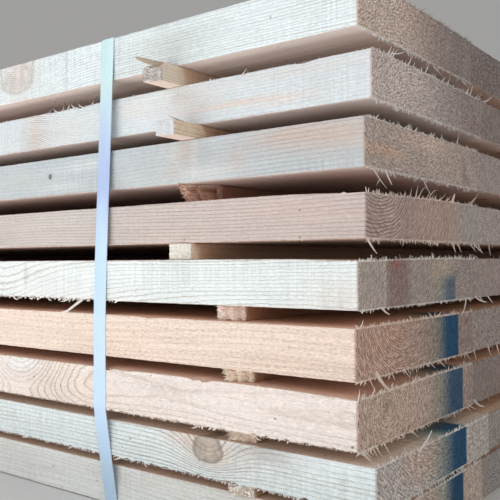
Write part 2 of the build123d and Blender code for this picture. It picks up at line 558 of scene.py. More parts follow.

# The front boards, from the floor up. pith is where the middle of the log lies behind the front
# edge and above the bottom, ring the width of its rings, and lines how strong they are on the
# faces. line_zone is a stretch with stronger lines: how far back from the near end, half its
# width, and how much stronger. texture is how speckled the faces are, how strong the marks of the
# saw are on them, and how far the end grain follows the rings. Stains on the face are placed back
# from the near end and down from the top, and those on the end behind the front edge and down
# from the top. Then come half their width, half their height, their colour, and their strength.
# The grey blobs far back on the ends, some 200 mm and more behind the front edge, are partly
# weathering and partly painted shade, darker where less light reaches the end.
FRONT_BOARDS = {
    1: dict(pith=(60, -40), ring=2.8, lines=0.2, texture=(0.8, 0.4, 0.3),
            face=(0.86, 0.85, 0.81), end=(0.60, 0.50, 0.44)),
    2: dict(pith=(110, 150), ring=2.7, lines=0.5, texture=(0.9, 0.3, 0.4), line_zone=(190, 80, 0.4),
            face=(0.80, 0.86, 0.86), end=(0.57, 0.53, 0.51),
            face_stains=((100, 4, 30, 9, STAINED, 0.42), (150, 10, 34, 15, TAN, 0.45),
                         (185, 4, 22, 9, TAN, 0.5)),
            end_stains_and_shade=((85, 10, 48, 18, HEARTWOOD, 0.45), (118, 20, 20, 40, WEATHERED_AND_SHADED, 0.35))),
    3: dict(pith=(44, 26), ring=1.9, lines=0.3, texture=(1.0, 0.15, 0.5), line_zone=(345, 60, 0.4),
            face=(0.85, 0.76, 0.70), end=(0.62, 0.48, 0.41),
            face_stains=((335, 24, 55, 30, TAN, 0.35), (395, 5, 34, 9, (0.86, 0.86, 0.84), 0.9)),
            end_stains_and_shade=((45, 13, 7, 7, (0.42, 0.36, 0.24), 0.6), (150, 20, 50, 40, WEATHERED_AND_SHADED, 0.3),
                        (215, 20, 30, 40, WEATHERED_AND_SHADED, 0.6))),
    4: dict(pith=(78, 60), ring=2.2, lines=0.17, texture=(1.35, 0.1, 0.8),
            face=(0.84, 0.69, 0.59), end=(0.60, 0.42, 0.35),
            face_stains=((60, 30, 70, 8, HEARTWOOD, 0.25),),
            end_stains_and_shade=((50, 12, 34, 9, HEARTWOOD, 0.5), (110, 19, 36, 40, WEATHERED_AND_SHADED, 0.4),
                        (215, 19, 40, 40, WEATHERED_AND_SHADED, 0.8))),
    5: dict(pith=(200, -80), ring=1.5, lines=0.5, texture=(0.7, 0.35, 0.5),
            face=(0.80, 0.845, 0.835), end=(0.52, 0.46, 0.42),
            face_stains=((387, 15, 3, 12, STAINED, 0.3), (10, 30, 30, 14, TAN, 0.35)),
            end_stains_and_shade=((64, 19, 24, 60, STAINED, 0.75), (60, 4, 9, 4, (0.42, 0.13, 0.11), 0.6),
                        (120, 22, 34, 30, WEATHERED_AND_SHADED, 0.35), (208, 19, 40, 60, WEATHERED_AND_SHADED, 0.4),
                        (150, 14, 30, 16, (0.64, 0.53, 0.40), 0.4), (41, 19, 2, 60, (0.8, 0.74, 0.68), 0.4))),
    6: dict(pith=(20, 68), ring=2.8, lines=0.48, texture=(0.7, 0.12, 0.85),
            face=(0.61, 0.51, 0.475), end=(0.47, 0.37, 0.34),
            face_stains=((360, 19, 170, 60, CLOUDY, 0.45),),
            end_stains_and_shade=((122, 19, 50, 40, HEARTWOOD, 0.32), (215, 22, 44, 60, (0.48, 0.46, 0.45), 0.8),
                        (66, 20, 14, 40, WEATHERED_AND_SHADED, 0.15))),
    7: dict(pith=(60, 150), ring=3.0, lines=0.12, texture=(0.6, 0.5, 0.2), line_zone=(60, 50, 0.3),
            face=(0.53, 0.57, 0.59), end=(0.50, 0.42, 0.38),
            face_stains=((20, 11, 48, 13, HEARTWOOD, 0.5), (75, 9, 45, 9, HEARTWOOD, 0.3),
                         (120, 22, 9, 9, HEARTWOOD, 0.3), (60, 6, 30, 5, HEARTWOOD, 0.3),
                         (185, 12, 16, 9, CLOUDY, 0.6), (250, 28, 26, 8, CLOUDY, 0.4),
                         (300, 11, 42, 5, PALE, 0.5), (345, 29, 34, 4, PALE, 0.45),
                         (150, 30, 30, 6, PALE, 0.5), (400, 19, 22, 9, CLOUDY, 0.4),
                         (164, 16, 2.5, 22, PALE, 0.6), (176, 12, 8, 15, HEARTWOOD, 0.22),
                         (192, 27, 12, 7, HEARTWOOD, 0.2)),
            end_stains_and_shade=((30, 22, 38, 4.5, HEARTWOOD, 0.55), (110, 7, 55, 8, TAN, 0.5),
                        (191, 23, 6, 14, STAINED, 0.45), (201, 31, 9, 5, STAINED, 0.4),
                        (225, 8, 22, 14, WEATHERED_AND_SHADED, 0.4))),
    8: dict(pith=(90, -120), ring=2.6, lines=0.14, texture=(0.6, 0.25, 0.15), line_zone=(394, 26, 0.95),
            face=(0.69, 0.73, 0.75), end=(0.62, 0.55, 0.52),
            face_stains=((122, 23.5, 62, 2, RESIN, 0.6), (80, 28, 30, 3, RESIN, 0.3),
                         (392, 17, 16, 30, TAN, 0.4), (60, 6, 60, 5, TAN, 0.25), (170, 14, 26, 12, TAN, 0.3),
                         (345, 20, 26, 14, (0.76, 0.72, 0.66), 0.4),
                         (250, 12, 30, 8, (0.78, 0.72, 0.66), 0.4)),
            end_stains_and_shade=((230, 19, 130, 200, WEATHERED_AND_SHADED, 0.85), (206, 30, 20, 9, STAINED, 0.3))),
    9: dict(pith=(90, -150), ring=2.4, lines=0.55, texture=(0.75, 0.45, 0.15), line_zone=(370, 40, 0.3),
            face=(0.78, 0.855, 0.875), end=(0.66, 0.55, 0.49),
            face_stains=((195, 20, 55, 30, CLOUDY, 0.5), (408, 10, 24, 20, HEARTWOOD, 0.3),
                         (330, 22, 1.8, 30, STAINED, 0.3), (252, 10, 1.8, 22, STAINED, 0.25)),
            end_stains_and_shade=((112, 12, 34, 12, HEARTWOOD, 0.3), (228, 19, 125, 200, WEATHERED_AND_SHADED, 0.95))),
}

# The knots of the front boards that the photograph shows: back from the near end, down from the
# top, half their height, 1 or -1 for the way the rings are pushed, and how much longer than high
# they are. Then how dark the knot and its edge are, how far it pushes the rings, and its colour
# over the wood's. A knot of no darkness lies deeper in the wood and only bends the rings.
FRONT_KNOTS = {
    2: dict(at=(157, 10, 10.5, -1, 1.55), look=(0.7, 0.6, 1.5), tint=(0.55, 0.45, 0.37)),
    3: dict(at=(395, 2, 22, 1, 1.7), look=(0, 0, 1.4), tint=(0.8, 0.7, 0.6)),
    5: dict(at=(440, 52, 26, 1, 2), look=(0, 0, 0.6), tint=(0.8, 0.7, 0.6)),
    7: dict(at=(359, 18, 2.6, 1, 1), look=(1, 0.8, 1), tint=(0.22, 0.20, 0.19)),
    8: dict(at=(404, 44, 20, -1, 1.1), look=(0, 0, 1.3), tint=(0.8, 0.7, 0.6)),
    9: dict(at=(412, 0, 32, 1, 1), look=(0.45, 0.25, 1.05), tint=(0.90, 0.74, 0.68)),
}

# How far back from the near end only those knots lie, over what length the others set in behind
# it, and how far the look of those knots holds
CALM_LENGTH = 520
CALM_FADE = 60
KNOT_HOLD = 560

# Knots elsewhere, and the top of the topmost front board
KNOT_LOOK = (1.0, 0.55, 1.05)
KNOT_TINT = (0.78, 0.56, 0.44)
STACK_TOP = (0.78, 0.72, 0.63)

# Where the blue mark starts behind the front edge, how wide it is, how strong, and how far down
# the end it starts
BLUE_MARKS = {
    1: (138, 34, 1, 0), 2: (128, 41, 1, 0), 3: (157, 40, 0.9, 0), 4: (151, 39, 1, 0), 5: (152, 27, 0.6, 20),
}

# Painted shade: darker colours for the ends of the boards behind the front ones, which are less lit by the
# open side
PAINTED_SHADE_SECOND_ENDS = {
    2: (0.40, 0.36, 0.34), 3: (0.36, 0.30, 0.28), 4: (0.42, 0.36, 0.34), 5: (0.44, 0.37, 0.35),
    6: (0.48, 0.43, 0.42), 7: (0.46, 0.40, 0.38), 8: (0.34, 0.29, 0.27), 9: (0.29, 0.25, 0.24),
}

FIBRE_COLOUR = (0.80, 0.68, 0.59)

# Painted shade: how much of the light, red, green and blue, is taken out of the colour of the sides of the
# stickers deep in the gaps, and of the undersides of the boards round the corner from the open side
PAINTED_SHADE_SIDE = (0.16, 0.30, 0.38)
PAINTED_SHADE_UNDERSIDE = (0.30, 0.46, 0.50)

# How deep the colour of the end grain goes in at the ends of the boards
END_DEPTH = 1.7


def tint_of(draw):
    """The face colour of a board that the photograph doesn't show."""
    pale = draw.uniform(0.68, 0.84)
    warmth = draw.uniform(0.88, 0.96)
    return (pale, pale * warmth, pale * (warmth - draw.uniform(0.07, 0.14)))


def roughen(form, low, high, amount, seed):
    """The saw leaves no face quite flat: each corner of the mesh sinks a little into the wood."""
    middle = (low + high) / 2
    for vert in form.verts:
        sample = noise.noise_vector(vert.co * 90.0 + Vector((seed, 0.0, 0.0)))
        fine = noise.noise_vector(vert.co * 420.0 + Vector((0.0, seed, 0.0)))
        inward = Vector()
        for axis in range(3):
            side = 1.0 if vert.co[axis] > middle[axis] else -1.0
            edge = (high if side > 0 else low)[axis]
            if abs(vert.co[axis] - edge) < SKIN:
                inward[axis] = -side * (abs(sample[axis]) * 0.6 + abs(fine[axis]) * 0.4) * amount
        vert.co += inward


def board_form(low, high, layer, front, seed):
    """One board. The front ones are cut finely near the end that the photograph shows."""
    form = box_form(low, high)
    break_corners(form, 1.0 * MM)
    cut_across(form, 0, steps(low.x + 4 * MM, high.x - 4 * MM, LONG_CUT))
    cut_across(form, 0, [low.x + 2 * MM, high.x - 2 * MM])
    if front:
        rows = steps(low.z + 1.2 * MM, high.z - 1.2 * MM, 2.4 * MM)
        cut_across(form, 2, rows, lambda face: face.normal.y < -0.9)
        cut_across(form, 1, [low.y + behind * MM for behind in (3, 10, 40)])
        start = high.x - SHOWN
        step = (2.5 if layer in (2, 3, 5, 9) else 4) * MM
        cut_across(form, 0, steps(start, high.x - 4 * MM, step),
                   lambda face: face.calc_center_bounds().x > start - 0.05)
    across, up = (2.2, 2.6) if front else (5, 5)

    def last(face):
        return min(vert.co.x for vert in face.verts) > high.x - 2.1 * MM

    def first(face):
        return max(vert.co.x for vert in face.verts) < low.x + 2.1 * MM
    for end, apart_y, apart_z in ((last, across, up), (first, 5, 5)):
        cut_across(form, 1, steps(low.y + 1.2 * MM, high.y - 1.2 * MM, apart_y * MM), end)
        cut_across(form, 2, steps(low.z + 1.2 * MM, high.z - 1.2 * MM, apart_z * MM), end)
    roughen(form, low, high, 0.7 * MM, seed)
    if front:
        wear_front(form, low, high, layer)
    return form


# How the front boards depart from true near the end that the photograph shows. First how far
# the top front corner is low, then the dips in its top front edge, back from the near end, and
# last the torn stretch of its bottom front edge: from, to, and how deep.
LOW_CORNERS = {3: 2.0, 5: 2.0, 6: 3.0}
EDGE_DIPS = {3: ((264, 2.6), (238, 1.3), (148, 3.5)), 8: ((60, 1.2), (320, 1.5), (358, 1)), 4: ((205, 1.2),)}
TORN_EDGES = {5: (255, 480, 2.4), 3: (0, 480, 1.6), 2: (0, 480, 2.0), 6: (0, 250, 0.8), 8: (330, 480, 0.8)}


def corner_drop(layer, back, behind):
    """How far the top of a front board is low, at a distance from its near end and its front."""
    if back > 100 or behind > 120:
        return 0.0
    return LOW_CORNERS.get(layer, 0.0) * (1 - back / 100) ** 2 * (1 - behind / 120)


def wear_front(form, low, high, layer):
    torn_from, torn_to, torn_deep = TORN_EDGES.get(layer, (0, 0, 0.0))
    for vert in form.verts:
        back = (high.x - vert.co.x) / MM
        behind = (vert.co.y - low.y) / MM
        near_top = high.z - vert.co.z < EDGE
        if near_top:
            vert.co.z -= corner_drop(layer, back, behind) * MM
        if back < 1.2 and (near_top or vert.co.z - low.z < EDGE):
            rag = ripple(vert.co.y * 150, vert.co.z * 9, 5.0)
            rag += ripple(vert.co.y * 420, vert.co.z * 9, 9.0)
            vert.co.z += (min(rag, 0.0) if layer == LAYERS and near_top else rag) * 1.2 * MM
        if near_top and behind < 3.5:
            for centre, deep in EDGE_DIPS.get(layer, ()):
                vert.co.z -= deep * math.exp(-((back - centre) / 9) ** 2) * MM
        if vert.co.z - low.z < EDGE and behind < 3.5 and torn_from < back < torn_to:
            rag = ripple(vert.co.x * 160, layer * 7.0, 0.0) + 0.35
            fine = ripple(vert.co.x * 520, layer * 7.0, 3.0)
            vert.co.z += max(0.0, rag + 0.7 * fine) * torn_deep * MM


def fringe(form, start, end, out, draw, every, lengths, width, drop):
    """Torn fibres along a sawn edge: most of them short, and thicker in some places than others."""
    span = end - start
    count = int(span.length / every)
    phase = draw.uniform(0, 60)
    for index in range(count):
        share = (index + draw.random()) / count
        at = start + span * share
        if drop:
            at.z -= drop(at) * MM
        along = span.length * share
        thick = 0.5 + 0.5 * math.sin(along * 210 + phase) * math.sin(along * 83 + 2 * phase)
        length = (lengths[0] + (lengths[1] - lengths[0]) * draw.random() ** 2.2 * (0.3 + 0.7 * thick)) * MM
        lean = Vector((draw.uniform(-0.6, 0.6), draw.uniform(-1.1, 1.1), draw.uniform(-0.3, 0.3)))
        lean = lean - lean.project(out)
        tip = at + (out + lean).normalized() * length
        fibre(form, at - out * 0.5 * MM, tip, draw.uniform(0.6, 1.5) * width * MM)


# The fuzz along the bottom and top front edges: how long, and how far apart
FRONT_FUZZ = {
    1: ((1.0, 5), (0.8, 5)), 2: ((2.6, 1.7), (0.9, 5)), 3: ((2.0, 1.3), (1.0, 4)),
    4: ((1.2, 3), (0.8, 5)), 5: ((1.4, 2.4), (0.8, 6)), 6: ((1.0, 4), (0.8, 5)),
    7: ((0.8, 6), (0.8, 5)), 8: ((0.8, 6), (2.6, 1.9)), 9: ((0.8, 7), (0.0, 9)),
}

# The torn teeth of the bottom front edges: from and to, the longest, and how far apart
FRONT_TEETH = {5: (250, 480, 2.8, 5.0), 3: (60, 330, 2.0, 4.0), 2: (60, 480, 2.2, 4.0), 6: (0, 300, 0.9, 8.0)}

# Splinters that hang from the front edges: root and tip, back from the near end and down from
# the top, and how wide
FRONT_SPLINTERS = {
    5: ((299, 37, 340, 53, 3.4), (352, 36, 343, 39.5, 2), (410, 36, 398, 40, 2.6),
        (430, 36, 437, 39.5, 1.6), (382, 36, 374, 39, 1.8), (318, 37, 330, 40, 1.6),
        (262, 36, 268, 38.6, 1.4)),
    2: ((121, 34, 134, 37.5, 2.6), (262, 33, 270, 36, 1.6), (330, 33, 336, 35.6, 1.4),
        (232, 33, 226, 36, 1.5)),
    3: ((150, 39, 157, 41.5, 1.4), (92, 39, 84, 41.5, 1.3)),
    8: ((326, 2, 334, -3, 1.7), (342, 2, 336, -3.4, 1.7), (356, 2, 362, -2.6, 1.5),
        (371, 2, 366, -2, 1.4), (349, 2, 345, -2.8, 1.4), (318, 2, 323, -2.4, 1.3),
        (306, 2, 299, -2.6, 1.4), (120, 2, 113, -2.6, 1.4)),
}


def front_fuzz(form, low, high, layer, draw):
    def drop(at):
        return corner_drop(layer, (high.x - at.x) / MM, 0.0)
    shown_from = high.x - SHOWN
    for (longest, apart), up in zip(FRONT_FUZZ[layer], (-1.0, 1.0)):
        edge = (high.z if up > 0 else low.z) - up * 0.5 * MM
        out = Vector((0.0, -0.35, up)).normalized()
        for first, last, thinner in ((shown_from, high.x - 0.002, 1.0), (low.x + 0.01, shown_from, 6.0)):
            if longest:
                start, finish = (Vector((x, low.y + 0.4 * MM, edge)) for x in (first, last))
                fringe(form, start, finish, out, draw, apart * thinner * MM, (0.3, longest), 0.9,
                       drop if up > 0 else None)
    if layer in FRONT_TEETH:
        first, last, longest, apart = FRONT_TEETH[layer]
        for index in range(int((last - first) / apart)):
            back = first + (index + draw.random()) * apart
            cluster = ripple(back / 26, layer * 3.0, 0.0) + 0.45
            length = longest * min(max(cluster, 0.1), 1.0) * draw.uniform(0.3, 1.2)
            root = Vector((high.x - back * MM, low.y + 1.0 * MM, low.z + 0.6 * MM))
            tip = root + Vector((draw.uniform(-1.6, 0.2), -0.3, -1.0)) * (length + 0.6) * MM
            fibre(form, root, tip, length * draw.uniform(1.0, 2.0) * MM)
    for back, down, tip_back, tip_down, wide in FRONT_SPLINTERS.get(layer, ()):
        start = Vector((high.x - back * MM, low.y + 0.8 * MM, high.z - down * MM))
        end = Vector((high.x - tip_back * MM, low.y - 1.5 * MM, high.z - tip_down * MM))
        middle = start.lerp(end, 0.5) + Vector((0.0, -0.8, -0.1 * abs(tip_back - back))) * MM
        splinter(form, [start, middle, end], wide * MM, flat=0.6, blunt=0.2)


def wood_attributes(mesh, data):
    """What the wood finish reads: the place in the log, knots, lines, the mark and the colour."""
    places = places_of(mesh) / MM
    x, y, z = places.T
    low, high = data["low"] / MM, data["high"] / MM
    count = len(places)
    kind = data.get("kind")
    # The grain of a sticker runs across the boards. Each piece is another length of log, so its
    # pattern starts elsewhere.
    grain, side = (1, 0) if kind else (0, 1)
    log = places[:, (grain, side, 2)] - np.float32((-data["offset"], *data["pith"]))
    write_vectors(mesh, "log_place", log * MM)
    write_vectors(mesh, "grain_axis", np.tile(np.eye(3)[grain], (count, 1)))
    write_vectors(mesh, "board_texture", np.tile(data["texture"], (count, 1)))

    knot = np.zeros_like(places)
    knot[:, 0] = 1.0
    look = np.tile(KNOT_LOOK, (count, 1))
    tint = np.tile(KNOT_TINT, (count, 1))
    if data.get("knot"):
        back, down, size, way, stretch = data["knot"]["at"]
        knot[:, 0] = (x - (high.x - back)) / stretch * MM
        knot[:, 1] = (z - (high.z - down)) * MM
        knot[:, 2] = size * way * MM
        shown = x > high.x - KNOT_HOLD
        look[shown] = data["knot"]["look"]
        tint[shown] = data["knot"]["tint"]
    write_vectors(mesh, "knot_place", knot)
    write_vectors(mesh, "knot_look", look)
    write_colours(mesh, "knot_tint", tint)

    # Only boards have knots of their own, and only where the photograph doesn't show them.
    wild = np.full(count, 0.0 if kind else 1.0)
    if data.get("calm"):
        wild = np.clip((high.x - CALM_LENGTH - x) / CALM_FADE, 0, 1)
    back, wide, extra = data.get("line_zone", (0, 1, 0.0))
    lines = np.full(count, data["lines"]) + extra * np.exp(-((high.x - x - back) / wide) ** 2)
    write_vectors(mesh, "board_traits", np.stack([np.full(count, data["ring"] * MM), lines, wild], 1))

    spray = np.zeros_like(places)
    if data.get("mark"):
        start, width, strength, down = data["mark"]
        reached = np.clip((high.z - z - down) / 16 + 1, 0, 1)
        spray[:, 0] = (y - low.y - start) / width - 0.8 * (1 - reached)
        spray[:, 1] = (high.x - x) * MM
        spray[:, 2] = strength * reached ** 2
    write_vectors(mesh, "spray_place", spray)
    write_colours(mesh, "wood_colour", wood_colours(places, data))


def wood_colours(places, data):
    """The colour of the wood: its faces, the shade on them, its ends, and the stains on both."""
    x, y, z = places.T
    low, high = data["low"] / MM, data["high"] / MM
    colours = np.tile(np.array(data["face"], float), (len(places), 1))
    kind = data.get("kind")
    if kind:
        across = np.clip((x - low.x) / (high.x - low.x), 0, 1)
        rise = np.clip((z - low.z) / (high.z - low.z), 0, 1)
        at_near = y < low.y + break_depth(across, rise, kind) + kind["rough"] * 1.2 + 1.5
        at_far = y > high.y - 2.5
        # Painted shade: the sides of the sticker are darkened behind the front of the board above, where that
        # board's shadow falls.
        lit_to = data["shaded_from"] + (high.z - z) * 0.4
        colours *= 1 - np.clip((y - lit_to) / 4, 0, 1)[:, None] * np.array(PAINTED_SHADE_SIDE)
    else:
        at_near = x > high.x - END_DEPTH
        at_far = x < low.x + END_DEPTH
        if data.get("top"):
            colours[(z > high.z - 0.5) & (y > low.y + 5)] = data["top"]
        # Painted shade: near the near end, the undersides more than 30 mm behind the front edge are darkened
        # round the corner from the open side.
        deep = np.clip(1 - (high.x - x) / 50, 0, 1) * (z < low.z + 1.3) * (y > low.y + 30)
        colours *= 1 - deep[:, None] * np.array(PAINTED_SHADE_UNDERSIDE)
    colours[at_near | at_far] = data["end"]
    on_face = (y < low.y + 8) & ~at_near
    colours = blended_stains_and_shade(colours, data.get("face_stains", ()), high.x - x, high.z - z, on_face, 1)
    return end_stained_and_shaded(colours, places, data, at_near)


# Soft blobs of colour: real stain, and on the ends also painted shade.
def blended_stains_and_shade(colours, stain_and_shade_blobs, across, down_from_top, where, sharpness):
    for at, down, wide, tall, colour, share in stain_and_shade_blobs:
        away = ((across - at) / wide) ** 2 + ((down_from_top - down) / tall) ** 2
        blend = (share * np.exp(-away ** sharpness) * where)[:, None]
        colours = colours * (1 - blend) + np.array(colour) * blend
    return colours


def end_stained_and_shaded(colours, places, data, where):
    """Stains and painted shade on the near end, placed behind the front edge and down from the top."""
    behind = places[:, 1] - data["low"].y / MM
    down_from_top = data["high"].z / MM - places[:, 2]
    return blended_stains_and_shade(colours, data.get("end_stains_and_shade", ()), behind, down_from_top, where, 2)


def fibre_object(form, name, colour, data=None):
    """Torn fibres as one object. Those on the near end of a board take its stain colours and painted shade
    too.
    """
    keep_inside(form)
    made = mesh_object(form, name, FIBRE)
    places = places_of(made.data) / MM
    colours = np.tile(np.array(colour, float), (len(places), 1))
    if data:
        at_near = places[:, 0] > data["high"].x / MM - 4
        colours = end_stained_and_shaded(colours, places, data, 0.45 * at_near)
    write_colours(made.data, "wood_colour", colours)
    return made


def wood_of(layer, board, low, high, draw):
    """What the wood of a board is like. Only the front boards follow the photograph."""
    data = dict(low=low, high=high, offset=draw.uniform(0, 40000))
    if board == 0:
        data.update(FRONT_BOARDS[layer], calm=True, knot=FRONT_KNOTS.get(layer), mark=BLUE_MARKS.get(layer))
        behind, above = data["pith"]
        data["pith"] = (low.y / MM + behind, low.z / MM + above)
        data["top"] = STACK_TOP if layer == LAYERS else None
        return data
    behind = draw.uniform(low.y, high.y) / MM
    data["pith"] = (behind, low.z / MM + draw.choice((-1, 1)) * draw.uniform(20, 90) + 19)
    data["ring"] = draw.uniform(1.8, 3.4)
    data["lines"] = draw.uniform(0.25, 0.55)
    data["texture"] = (draw.uniform(0.5, 1.2), draw.uniform(0.2, 0.6), draw.uniform(0.2, 0.8))
    data["face"] = tint_of(draw)
    data["end"] = tuple(value * draw.uniform(0.58, 0.64) for value in data["face"])
    # The ends of the second boards take the painted shade.
    if board == 1:
        data["end"] = PAINTED_SHADE_SECOND_ENDS.get(layer, data["end"])
    return data


def end_fringe(form, low, high, layer, front, draw):
    """Torn fibres on the edges of both ends of a board."""
    def drop(at):
        return corner_drop(layer, (high.x - at.x) / MM, (at.y - low.y) / MM)
    inset = 0.4 * MM
    top_room = min(1.0, (cad_box[1].z - high.z) / (6 * MM))
    for end_x, way in ((high.x, 1.0), (low.x, -1.0)):
        seen = front and way > 0
        every = (0.9 if seen else 7.0) * MM
        for edge_z, up in ((high.z, 1.0), (low.z, -1.0)):
            longest = max(0.7, 6.5 * top_room) if up > 0 else (4.0 if layer == 5 else 6.5)
            start, finish = (Vector((end_x - way * inset, y, edge_z - up * inset))
                             for y in (low.y + 1 * MM, high.y - 1 * MM))
            out, lengths = Vector((0.0, 0.0, up)), (0.5, longest)
            if seen and layer == LAYERS and up > 0:
                # Nothing may rise over the top of the stack, so here the fibres lean out.
                out, lengths = Vector((1.0, -0.7, 0.04)).normalized(), (1.8, 10.0)
            fringe(form, start, finish, out, draw, every, lengths, 1.25 if seen else 1.2,
                   drop if seen and up > 0 else None)


def build_layer(layer):
    node = f"boards_layer_{layer}"
    parts = []
    for board, (low, high) in enumerate(solid_boxes(node)):
        draw = random.Random(100 * layer + board)
        front = board == 0
        data = wood_of(layer, board, low, high, draw)
        form = board_form(low, high, layer, front, draw.uniform(0, NOISE_REACH))
        body = mesh_object(form, f"wood_{layer}_{board}", WOOD)
        wood_attributes(body.data, data)
        loose = bmesh.new()
        end_fringe(loose, low, high, layer, front, draw)
        tone = [value * 1.2 for value in data["end"]]
        if front:
            long_splinters(loose, low, high, layer)
            front_fuzz(loose, low, high, layer, draw)
            tone = [(a + b) / 2 for a, b in zip(FIBRE_COLOUR, data["face"])]
        parts += [body, fibre_object(loose, f"fringe_{layer}_{board}", tone, data)]
    piece = joined(parts, f"boards_{layer}")
    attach(piece, "root")
    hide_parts(node)


# Long splinters on the near end: where each one is rooted and where its tip is, back from the
# front edge of its layer and up from the layer's top, how wide it is, and how far it bows.
LONG_SPLINTERS = {
    9: ((172, -4, 182, 1, 1.2, 0.5), (44, -39, 47.5, -44, 1, 0.5), (68.7, -38, 74, -43, 1, 0.5),
        (205, -37, 214, -43, 1.1, 1), (110, -39, 113, -43, 0.9, 0.5)),
    8: ((22.7, -1, 29.4, 7.7, 1.3, 1), (34.3, -1, 39.5, 7, 1.2, -1), (33, 3, 51.7, 8.2, 1.5, 1),
        (30, -1, 33, 6.5, 1.1, 0.5), (60.6, -1, 64.3, 7, 1.3, 0.5), (92.8, -1, 98, 9.3, 1.2, 0.5),
        (96, 2, 93, 9.8, 1, -0.5), (111.2, 9.8, 124, 4.5, 1.4, 0.5), (125.9, -1, 132.3, 4.3, 1.3, 0.5),
        (141.2, -1, 141.4, 7.3, 1.4, 0.5), (176.5, 10, 184, 5.5, 1.5, 0.5), (186, -1, 187, 6, 2, 0.5),
        (193.8, -1, 196.5, 8.9, 1.6, 0.5), (225, -1, 248, 8, 1.4, 1.5), (231, -1, 252, 10.3, 1.3, 1.5),
        (212, -1, 222, 7, 1.2, 1), (207, -1, 213, 5, 1.2, 0.5)),
    7: ((12, -36, 30.8, -51, 1.6, 1), (32.7, -36, 39.2, -47.5, 2.2, 0.5),
        (99.5, -36, 111.2, -50.5, 1.5, 0.5), (24, -45, 14, -50.5, 1.3, 0.8),
        (174.2, -1, 174.4, 10.3, 1.5, 0.3), (82.9, -1, 86.7, 3.4, 1.2, 0.3),
        (118.5, -1, 122.8, 3.7, 1.2, 0.3), (16, -1, 19, 3.2, 1.4, 0.3), (66, -1, 69, 2.6, 1.2, 0.2)),
    6: ((72.6, -1, 72.7, 5.6, 1.1, 0.2), (83.7, -1, 83.9, 8.5, 1.3, 0.3),
        (158.7, -1, 161.1, 7.4, 3.2, 0.3), (196.9, -1, 220.5, 12, 1.2, 0.6),
        (202, -1, 217, 9.9, 1.1, 0.6), (2.5, -35, 12.9, -46.5, 2.4, 0.8),
        (118.6, -35, 122.7, -39.3, 1.8, 0.3), (160, -35, 162.1, -45, 1.7, 0.3),
        (171.6, -35, 176.2, -44.9, 1.6, 0.5), (201, -35, 213.7, -43.7, 1.7, 0.6),
        (212, -35, 229.6, -44.5, 2.4, 0.8), (222, -35, 230, -45, 1.8, 0.6),
        (251.9, -35, 251.7, -47.3, 1.4, 0.2), (98, -1, 108, 7, 1, 3), (104, -1, 116, 5, 1, 3),
        (110, -1, 124, 8, 1, -3), (120, -1, 131, 4, 1, 3), (128, -1, 141, 6, 1.2, 1),
        (90, -1, 101, 9, 0.9, -2.5), (144, -1, 152, 5, 1.4, 0.6)),
    5: ((17.3, -1, 17.3, 2.6, 1, 0.1), (138.4, -1, 141.6, 2.4, 1.6, 0.2), (188.3, -1, 191.8, 3, 1.6, 0.2),
        (226.1, -1, 226.2, 2.6, 1.6, 0.1), (35, -36, 44.6, -42.6, 2.2, 1),
        (207, -36, 187, -52.3, 2.6, -3), (228, -36, 254.8, -43, 2.4, 1.5),
        (263.4, -37, 274.8, -45, 1.8, 0.5), (238, -36, 246, -41, 1.4, 0.5)),
    4: ((7.9, -1, 8, 6, 1.2, 0.1), (140, -1, 148.8, 3.8, 1.6, 0.5), (18.6, -35, 27.7, -50.3, 1.2, 0.5),
        (30, -34, 50, -51.5, 4.2, 1.5), (48.7, -47.3, 35.6, -52.4, 1.4, 0.5),
        (74.8, -35, 85.6, -46, 1.4, 0.5), (91.3, -35, 83.7, -45.7, 1.4, -0.5),
        (80, -35, 86, -43, 1.2, 0.4), (124.6, -36, 134.9, -43.8, 1.6, 0.3),
        (143.5, -36, 156.4, -45.4, 1.6, 0.4), (205.9, -36, 215.9, -44.8, 1.6, 0.4),
        (229, -36, 231.5, -47.5, 1.5, 0.2), (267.5, -36, 273, -49, 1.6, 0.2),
        (294.1, -36, 296.8, -50, 1.6, 0.2), (113, -36, 124, -41, 1.3, 0.3)),
    3: ((0.9, -1, 0.4, 6.8, 1.2, 0.1), (19.4, -4, 22.6, 4.6, 1.8, 0.8), (2.5, -37, 18.7, -49.5, 1.4, 0.6),
        (5.4, -37, 17.2, -48, 1.6, 0.6), (8.3, -37, 19.8, -47.5, 1.2, 0.6), (0.8, -37, 13, -45, 1.2, 0.6),
        (14, -37, 21, -45, 1.1, 0.4), (20.4, -37, 26.5, -46.6, 1.3, 0.3),
        (25.1, -37, 34.4, -48.7, 1.4, 0.4), (37.7, -37, 47.4, -49.5, 1.6, 0.5),
        (86.2, -37, 97.4, -46, 1.3, 0.4), (207, -35, 227.4, -44.4, 1.6, 1.2),
        (225, -35, 249, -45.4, 3, 2), (204.5, -36, 214.4, -45.2, 1.3, 0.5), (58, -37, 66, -41, 1.8, 0.4)),
    2: ((70, -3, 90.8, 10, 3.4, 1.5), (184.2, -33, 196.6, -43.5, 1.3, 0.3),
        (118.1, -33, 120, -42, 1.3, 0.8), (120.2, -41, 109.6, -42.6, 1.6, -0.5)),
}


def long_splinters(form, low, high, layer):
    for back, rise, tip_back, tip_rise, wide, bow in LONG_SPLINTERS.get(layer, ()):
        start = Vector((high.x - 0.6 * MM, low.y + back * MM, high.z + rise * MM))
        if -3 < rise < 0:
            start.z -= corner_drop(layer, 0.0, back) * MM
        end = Vector((high.x + 1.6 * MM, low.y + tip_back * MM, high.z + tip_rise * MM))
        side = (end - start).cross(Vector((1.0, 0.0, 0.0))).normalized() * bow * MM
        line = [start.lerp(end, share) + side * math.sin(math.pi * share) for share in (0.0, 0.3, 0.65, 1.0)]
        splinter(form, line, wide * MM, flat=0.45, blunt=0.3 if wide > 2 else 0.15)


# Stickers

